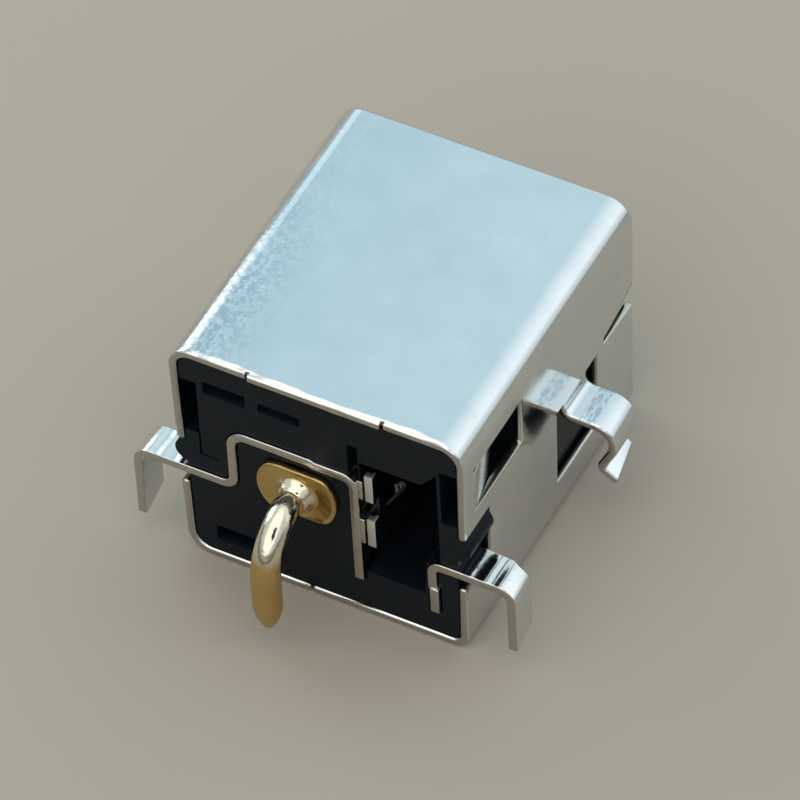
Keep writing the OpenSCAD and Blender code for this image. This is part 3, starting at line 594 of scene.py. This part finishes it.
def strip_mesh(name, points, radii, width, thickness):
    """A bent strip in the X-Z plane, from the rear edge forwards by its width."""
    bm = bmesh.new()
    bend = bm.verts.layers.float.new("bend")
    corners = [bm.verts.new((x, width / 2, z)) for x, z in points]
    for corner, r in zip(corners[1:-1], radii):
        corner[bend] = r * MM
    for a, b in zip(corners, corners[1:]):
        bm.edges.new((a, b))
    return run_tree(worked(bm, name), PRESSED_STRIP, {
        "Width": width * MM, "Thickness": thickness * MM, "Edge Radius": STRIP_EDGE * MM, "Steps": 10, "Finish": STRIP})


def block_into(bm, low, high, width=0.02):
    """A small pressed block with rounded edges, between two corners, in millimetres."""
    size = Vector(high) - Vector(low)
    place = Matrix.Translation((Vector(high) + Vector(low)) / 2) @ Matrix.Diagonal(size).to_4x4()
    made = bmesh.ops.create_cube(bm, size=1, matrix=place)["verts"]
    edges = {e for v in made for e in v.link_edges}
    bmesh.ops.bevel(bm, geom=list(edges), offset=width, segments=2, profile=0.5, affect="EDGES")


def add_mesh(bm, mesh):
    """Adds a mesh in the row's frame to a bmesh in millimetres from the rear edge."""
    mesh.transform(Matrix.Translation((0, -REAR, 0)) @ Matrix.Scale(1 / MM, 4))
    bm.from_mesh(mesh)
    bpy.data.meshes.remove(mesh)


STRIP_SHEET = 0.28
# Outer legs of both: how far outside the wall, the bend, the height of the tip and its slant
LEG_REACH, LEG_BEND, LEG_TIP, LEG_SLANT = 1.48, 0.42, 0.76, 0.36
# Left terminal: its width, the heights of its lower and top runs, and the S-bend between them
SLEEVE_WIDTH, SLEEVE_RUN, TOP_RUN, S_BEND_X, S_BENDS = 1.05, 3.31, 5.47, -2.72, (0.38, 0.48)
# The top run's small step down, then the right upright, with two ears on its right side
STEP_START, STEP_END, STEP_DROP, STEP_BEND = -0.3, -0.16, 0.07, 0.25
UPRIGHT_X, UPRIGHT_FOOT, UPRIGHT_BEND = 1.05, 1.38, 0.38
EARS = (((1.14, 0.04, 2.92), (1.32, 1.0, 3.88)), ((1.14, 0.04, 4.74), (1.32, 1.0, 5.44)))
# Spring arm in the side view, from the top run to its free end
ARM_PATH = [(1.0, TOP_RUN), (1.25, TOP_RUN), (2.1, 7.25), (6.13, 6.95), (7.73, 7.25)]
ARM_BENDS, ARM_HALF_WIDTH, ARM_SHEET = (0.2, 0.3, 0.8), 1.0, 0.2
# Right terminal: its width and its leg's, the height of its run, its inner upright, the leg's taper outside
# the wall, and the upright's stepped foot
SWITCH_WIDTH, SWITCH_LEG_WIDTH, SWITCH_RUN = 1.16, 0.97, 3.06
SWITCH_UPRIGHT_X, SWITCH_UPRIGHT_FOOT, SWITCH_BEND = 3.34, 2.11, 0.3
TAPER_START, TAPER_LENGTH = 0.7, 0.5
STEPPED_FOOT = ((3.27, -0.06, 1.2), (3.55, SWITCH_WIDTH, 2.16))
LOWEST = 1.2             # the legs' tips are below this
TIP_REACH = 0.2          # how far from the leg's middle its tip's corners can be


def slant_tip(bm, x, width):
    """Shears the leg's end on a slant: the front corner ends higher than the rear one."""
    for v in bm.verts:
        if abs(v.co.x - x) < TIP_REACH and v.co.z < LEG_TIP + 0.02:
            v.co.z = LEG_TIP + LEG_SLANT * v.co.y / width


def dull_cut_faces(mesh):
    """Gives the sheared faces, which look to the rear, the front or down, their own finish.
    The rear ones keep it over their rolled edges."""
    mesh.materials.append(EDGE)
    for face in mesh.polygons:
        cut = face.normal.y < -0.35 or face.normal.y > 0.93
        if cut or face.normal.z < -0.9 and face.center.z < LOWEST * MM:
            face.material_index = 1


def finish_contact(bm, name, *nodes):
    """Turns a contact's bmesh into its finished piece."""
    bmesh.ops.remove_doubles(bm, verts=bm.verts, dist=1e-5)
    bmesh.ops.recalc_face_normals(bm, faces=bm.faces)
    for face in bm.faces:
        face.smooth = True
    shape = worked(bm, name)
    shape.data.materials.append(STRIP)
    shape.data.set_sharp_from_angle(angle=math.radians(50))
    shape.modifiers.new("flat_faces", "WEIGHTED_NORMAL").keep_sharp = True
    mesh = baked(shape, name)
    dull_cut_faces(mesh)
    return piece(name, mesh, (STRIP, EDGE), *nodes, slot="contacts")


def make_sleeve_contact():
    """Left terminal, S-bend, top run and right upright, with two ears and the spring arm."""
    outer = wall_x(SLEEVE_RUN) + LEG_REACH - STRIP_SHEET / 2
    dropped = TOP_RUN - STEP_DROP
    points = [(-outer, LEG_TIP), (-outer, SLEEVE_RUN), (S_BEND_X, SLEEVE_RUN), (S_BEND_X, TOP_RUN),
              (STEP_START, TOP_RUN), (STEP_END, dropped), (UPRIGHT_X, dropped), (UPRIGHT_X, UPRIGHT_FOOT)]
    bends = [LEG_BEND, *S_BENDS, STEP_BEND, STEP_BEND, UPRIGHT_BEND]
    bm = bmesh.new()
    add_mesh(bm, strip_mesh("sleeve_strip", points, bends, SLEEVE_WIDTH, STRIP_SHEET))
    slant_tip(bm, -outer, SLEEVE_WIDTH)
    for low, high in EARS:
        block_into(bm, low, high)
    # The spring arm stands over the bore, in the middle of the top run's straight part
    path = bent_path(ARM_PATH, ARM_BENDS)
    middle = (S_BEND_X + S_BENDS[0] + STEP_START) / 2
    rows = [[Vector((middle + side * ARM_HALF_WIDTH, p.x, p.y)) for side in (-1, 1)] for p in path]
    arm = bmesh.new()
    strip_of_faces(arm, [arm.verts.new(p) for p in rows[0]], rows[1:])
    flat = worked(arm, "spring_arm")
    thick = flat.modifiers.new("sheet", "SOLIDIFY")
    thick.thickness, thick.offset, thick.use_even_offset = ARM_SHEET * MM, 0, True
    soften_edges(flat, 0.03, 2)
    add_mesh(bm, baked(flat, "spring_arm"))
    finish_contact(bm, "sleeve_strip", "sleeve_contact")


def make_switch_terminal():
    """Right terminal, its run through the wall and its inner upright with a stepped foot."""
    wall = wall_x(SWITCH_RUN)
    outer = wall + LEG_REACH - STRIP_SHEET / 2
    points = [(outer, LEG_TIP), (outer, SWITCH_RUN), (SWITCH_UPRIGHT_X, SWITCH_RUN),
              (SWITCH_UPRIGHT_X, SWITCH_UPRIGHT_FOOT)]
    bm = bmesh.new()
    add_mesh(bm, strip_mesh("switch_strip", points, [LEG_BEND, SWITCH_BEND], SWITCH_WIDTH, STRIP_SHEET))
    # The leg narrows outside the wall, on its front side
    for v in bm.verts:
        if v.co.y > SWITCH_WIDTH / 2:
            share = min(1, max(0, (v.co.x - wall - TAPER_START) / TAPER_LENGTH))
            v.co.y -= share * share * (3 - 2 * share) * (SWITCH_WIDTH - SWITCH_LEG_WIDTH)
    slant_tip(bm, outer, SWITCH_LEG_WIDTH)
    block_into(bm, *STEPPED_FOOT, 0.04)
    finish_contact(bm, "switch_strip", "switch_terminal")


make_sleeve_contact()
make_switch_terminal()


# ---- Centre pin: turned body and flange, and a wire tail swept down its bend ----

PIN_X, PIN_Z = -0.68, 4.15
NO_FLAT = 9              # flats so far out that the ring stays round
TAIL_REACH, TAIL_TIP = 2.03, 0.8
TAIL = {"Radius": 0.425, "Tip Radius": 0.2, "Bend Radius": 1.55, "Taper Length": 0.85, "Tip Height": TAIL_TIP}
# Each ring of the turned body: distance from the rear edge, radius, and flats across the top and bottom
BOSS = [(-0.46, 0.38, NO_FLAT), (-0.43, 0.43, NO_FLAT), (-0.35, 0.472, NO_FLAT), (-0.26, 0.515, NO_FLAT),
        (-0.17, 0.56, NO_FLAT), (-0.125, 0.59, NO_FLAT), (-0.098, 0.63, NO_FLAT)]
FLANGE = [(-0.087, 0.69, 0.68), (-0.085, 1.08, 0.79), (-0.09, 1.13, 0.82), (-0.108, 1.17, 0.85), (-0.12, 1.195, 0.868),
          (-0.115, 1.215, 0.885), (-0.085, 1.23, 0.90), (0.03, 1.23, 0.90), (0.06, 1.22, 0.89), (0.08, 1.19, 0.86)]
BODY = [(0.08, 0.75, NO_FLAT), (0.5, 0.75, NO_FLAT), (0.5, 0.95, NO_FLAT), (2.2, 0.95, NO_FLAT), (2.2, 1.25, NO_FLAT),
        (2.22, 1.25, NO_FLAT), (8.38, 1.25, NO_FLAT), (8.42, 1.235, NO_FLAT), (8.68, 0.97, NO_FLAT),
        (8.73, 0.88, NO_FLAT), (8.73, 0.01, NO_FLAT)]
AROUND, CORNER_POWER = 128, 16           # points in a ring, and how tightly a flat turns into the round


def tail_tree():
    """Sweeps a round tail along its bent line, and draws its end in to a blunt point."""
    tree, given = shape_tree("bent_tail", TAIL)
    line = add(tree, "GeometryNodeMeshToCurve", {"Mesh": given["Geometry"]})
    bent = add(tree, "GeometryNodeFilletCurve",
               {"Curve": line.outputs["Curve"], "Count": 24, "Radius": given["Bend Radius"]}, mode="POLY")
    even = add(tree, "GeometryNodeResampleCurve", {"Curve": bent.outputs["Curve"], "Count": 72}, mode="COUNT")
    place = add(tree, "GeometryNodeInputPosition").outputs["Position"]
    above = calc(tree, "SUBTRACT", apart(tree, place)["Z"], given["Tip Height"])
    share = add(tree, "ShaderNodeMath", {0: above, 1: given["Taper Length"]}, operation="DIVIDE", use_clamp=True)
    # A quarter-round swelling, so that the end is blunt and not a straight cone
    rest = calc(tree, "SUBTRACT", 1.0, share.outputs["Value"])
    swell = calc(tree, "SUBTRACT", 1.0, calc(tree, "POWER", rest, 2.0))
    width = add(tree, "ShaderNodeMapRange", {"Value": swell, "To Min": given["Tip Radius"], "To Max": given["Radius"]})
    ring = add(tree, "GeometryNodeCurvePrimitiveCircle", {"Resolution": 48, "Radius": 1.0}, mode="RADIUS")
    swept = add(tree, "GeometryNodeCurveToMesh",
                {"Curve": even.outputs["Curve"], "Profile Curve": ring.outputs["Curve"],
                 "Scale": width.outputs["Result"], "Fill Caps": True})
    return end_tree(tree, swept.outputs["Mesh"], given["Finish"])


def tail_mesh():
    """The solder tail: out of the boss, round its bend and down."""
    bm = bmesh.new()
    line = ((PIN_X, 0.0, PIN_Z), (PIN_X, -TAIL_REACH, PIN_Z), (PIN_X, -TAIL_REACH, TAIL_TIP))
    corners = [bm.verts.new(p) for p in line]
    for a, b in zip(corners, corners[1:]):
        bm.edges.new((a, b))
    sizes = {name: size * MM for name, size in TAIL.items()}
    return run_tree(worked(bm, "tail"), tail_tree(), {**sizes, "Finish": GOLD})


def turned_pin_into(bm):
    """The turned body, ring by ring from the boss to the free end."""
    last = None
    for y, radius, flat in BOSS + FLANGE + BODY:
        made = []
        for k in range(AROUND):
            a = math.tau * k / AROUND
            reach = radius ** -CORNER_POWER + (abs(math.sin(a)) / flat) ** CORNER_POWER
            r = reach ** (-1 / CORNER_POWER)
            made.append(bm.verts.new((PIN_X + r * math.cos(a), y, PIN_Z + r * math.sin(a))))
        if last:
            for k in range(AROUND):
                bm.faces.new((last[k], last[(k + 1) % AROUND], made[(k + 1) % AROUND], made[k]))
        else:
            bm.faces.new(made)
        last = made
    bm.faces.new(last)


def make_centre_pin():
    """The pin with its tail, gold all over."""
    bm = bmesh.new()
    turned_pin_into(bm)
    add_mesh(bm, tail_mesh())
    bmesh.ops.recalc_face_normals(bm, faces=bm.faces)
    for face in bm.faces:
        face.smooth = True
    shape = worked(bm, "gold_pin")
    shape.data.materials.append(GOLD)
    shape.data.set_sharp_from_angle(angle=math.radians(45))
    piece("gold_pin", baked(shape, "gold_pin"), (GOLD,), "centre_pin", slot="centre_pin")


make_centre_pin()


# ---- Housing and contact spring keep their exact shape, with softened edges ----

def softened_copy(node, name, width, material, slot):
    """A copy of a node's own solid with its edges rounded, in its place."""
    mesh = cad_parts[node].data.copy()
    mesh.name = name
    mesh.materials.clear()
    bm = bmesh.new()
    bm.from_mesh(mesh)
    bmesh.ops.remove_doubles(bm, verts=bm.verts, dist=1e-7)
    bmesh.ops.dissolve_limit(bm, angle_limit=math.radians(0.5), verts=bm.verts, edges=bm.edges)
    bm.to_mesh(mesh)
    bm.free()
    obj = placed(name, mesh)
    mesh.materials.append(material)
    soften_edges(obj, width, 2)
    return piece(name, baked(obj, name), (material,), node, slot=slot)


softened_copy("housing", "moulded_housing", 0.02, PBT, "housing")
spring = softened_copy("contact_spring", "forked_spring", 0.025, SPRING, "contacts")
# The rolled sides keep their mirror, and only the blanked edges are satin
spring.data.materials.append(STRIP)
for side_face in spring.data.polygons:
    if abs(side_face.normal.x) > 0.6:
        side_face.material_index = 1


# ---- Floor, light and camera ----

HALF_FLOOR = 400 * MM


def make_floor():
    """A plain pale card for the part to lie on."""
    bm = bmesh.new()
    corners = ((-1, -1), (1, -1), (1, 1), (-1, 1))
    bm.faces.new([bm.verts.new((x * HALF_FLOOR, y * HALF_FLOOR, 0)) for x, y in corners])
    mesh = bpy.data.meshes.new("floor")
    bm.to_mesh(mesh)
    bm.free()
    floor = placed("floor", mesh)
    material, tree, shader, _ = finish("pale_card")
    dress(tree, shader, Base_Color=linear("#a89f92"), Roughness=0.9, Specular_IOR_Level=0.1)
    mesh.materials.append(material)


# Colours of the tent, brighter than 1 where it is lit. The backdrop is behind the part
BACKDROP_LEFT, BACKDROP_RIGHT = (0.52, 0.77, 0.89, 1), (1.2, 1.3, 1.34, 1)
FAR_WALL_LEFT, FAR_WALL_RIGHT = (0.34, 0.345, 0.34, 1), (0.7, 0.8, 0.84, 1)
OVER_VIEWER, UNDER_VIEWER = (0.7, 0.76, 0.78, 1), (0.17, 0.165, 0.16, 1)
# Soft round panels in it: their direction, their colour, and the angles at which they end and are full
PANELS = (
    ((-0.81, 0.57, 0.1), (0.46, 0.54, 0.58, 1), 18, 9),           # grey, low on the left, for the left fold
    ((-0.675, 0.574, 0.465), (0.85, 1.1, 1.2, 1), 16, 8),         # pale, above it, for the fold's bright line
    ((0.05, -0.55, 0.8), (1.6, 1.6, 1.56, 1), 46, 28),            # white, behind the viewer
    ((0.336, -0.574, 0.746), (0.03, 0.04, 0.05, 1), 12, 9),       # dark, where the viewer stands
)
LAMP_SIZE, LAMP_POWER, LAMP_COLOUR = 0.09, 0.042, (1, 0.98, 0.94)
LAMP_PLACE = (-0.12, 0.034, 0.057)


def make_light():
    """A grey tent with a graded pale backdrop and a few soft panels, and one soft lamp from the left."""
    world = bpy.data.worlds.new("soft_studio")
    bpy.context.scene.world = world
    world.use_nodes = True
    tree = world.node_tree
    way = add(tree, "ShaderNodeTexCoord").outputs["Generated"]
    axis = apart(tree, way)
    # The backdrop grows from pale blue on the left to nearly white on the right
    backdrop = blend(tree, between(tree, axis["X"], -0.6, 0.75, smooth=False), BACKDROP_LEFT, BACKDROP_RIGHT)
    front = between(tree, axis["Y"], -0.1, 0.3)
    upper = blend(tree, front, OVER_VIEWER, backdrop)
    far_wall = blend(tree, between(tree, axis["X"], 0.2, 0.6), FAR_WALL_LEFT, FAR_WALL_RIGHT)
    horizon = blend(tree, front, UNDER_VIEWER, far_wall)
    tent = blend(tree, between(tree, axis["Z"], 0.02, 0.45), horizon, upper)
    for direction, colour, wide, full in PANELS:
        towards = add(tree, "ShaderNodeVectorMath", {0: way, 1: Vector(direction).normalized()},
                      operation="DOT_PRODUCT")
        share = between(tree, towards.outputs["Value"], math.cos(math.radians(wide)), math.cos(math.radians(full)))
        tent = blend(tree, share, tent, colour)
    tree.links.new(tent, tree.nodes["Background"].inputs["Color"])
    lamp = bpy.data.lights.new("soft_lamp", "AREA")
    lamp.size, lamp.energy, lamp.color = LAMP_SIZE, LAMP_POWER, LAMP_COLOUR
    lit = placed("soft_lamp", lamp)
    lit.location = LAMP_PLACE
    lit.rotation_euler = (-lit.location).to_track_quat("-Z", "Y").to_euler()


LENS = 347.9
CAMERA_PLACE = (0.071426, -0.122597, 0.162213)
CAMERA_TURNS = (30.319, 41.722, -3.536)      # heading, tilt and roll, in degrees


def make_camera():
    """A long lens that looks down on the rear, the top and the right wall."""
    data = bpy.data.cameras.new("camera")
    data.lens, data.sensor_width = LENS, 36
    data.clip_start, data.clip_end = 0.01, 10
    camera = placed("camera", data)
    camera.location = CAMERA_PLACE
    heading, tilt, roll = [math.radians(angle) for angle in CAMERA_TURNS]
    turn = Matrix.Rotation(heading, 3, "Z") @ Matrix.Rotation(tilt, 3, "X")
    camera.rotation_euler = (turn @ Matrix.Rotation(roll, 3, "Z")).to_euler()
    bpy.context.scene.camera = camera


make_floor()
make_light()
make_camera()
bpy.context.scene.view_settings.view_transform = "Standard"
